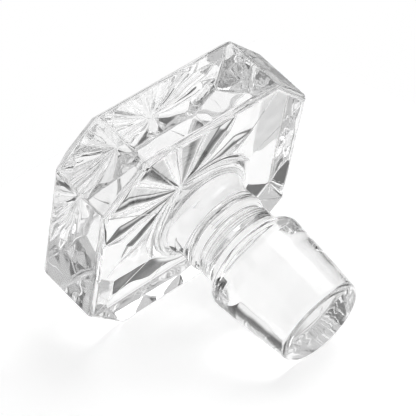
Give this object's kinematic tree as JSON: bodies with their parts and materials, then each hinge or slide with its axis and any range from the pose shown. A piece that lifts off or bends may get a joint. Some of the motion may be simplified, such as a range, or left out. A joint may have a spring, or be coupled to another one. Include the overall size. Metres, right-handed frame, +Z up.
{
  "type": "decanter stopper",
  "caption": "Clear cut-glass decanter stopper: octagonal head with a star cut, ringed collar, round shoulder and tapered plug, lying on its side.",
  "frame": {"origin": "on the table, under the middle of the stopper's bounding box", "axes": "+Z up from the table, +X the way the plug points, seen from above, +Y level across the head; the stopper's own axis slopes down from the head to the plug"},
  "size_m": [0.0622, 0.054, 0.0526],
  "materials": {
    "crystal": "polished clear crystal"
  },
  "bodies": {
    "root": {"stopper_head": "crystal", "stopper_collar": "crystal", "stopper_shoulder": "crystal", "stopper_plug": "crystal"}
  },
  "joints": []
}
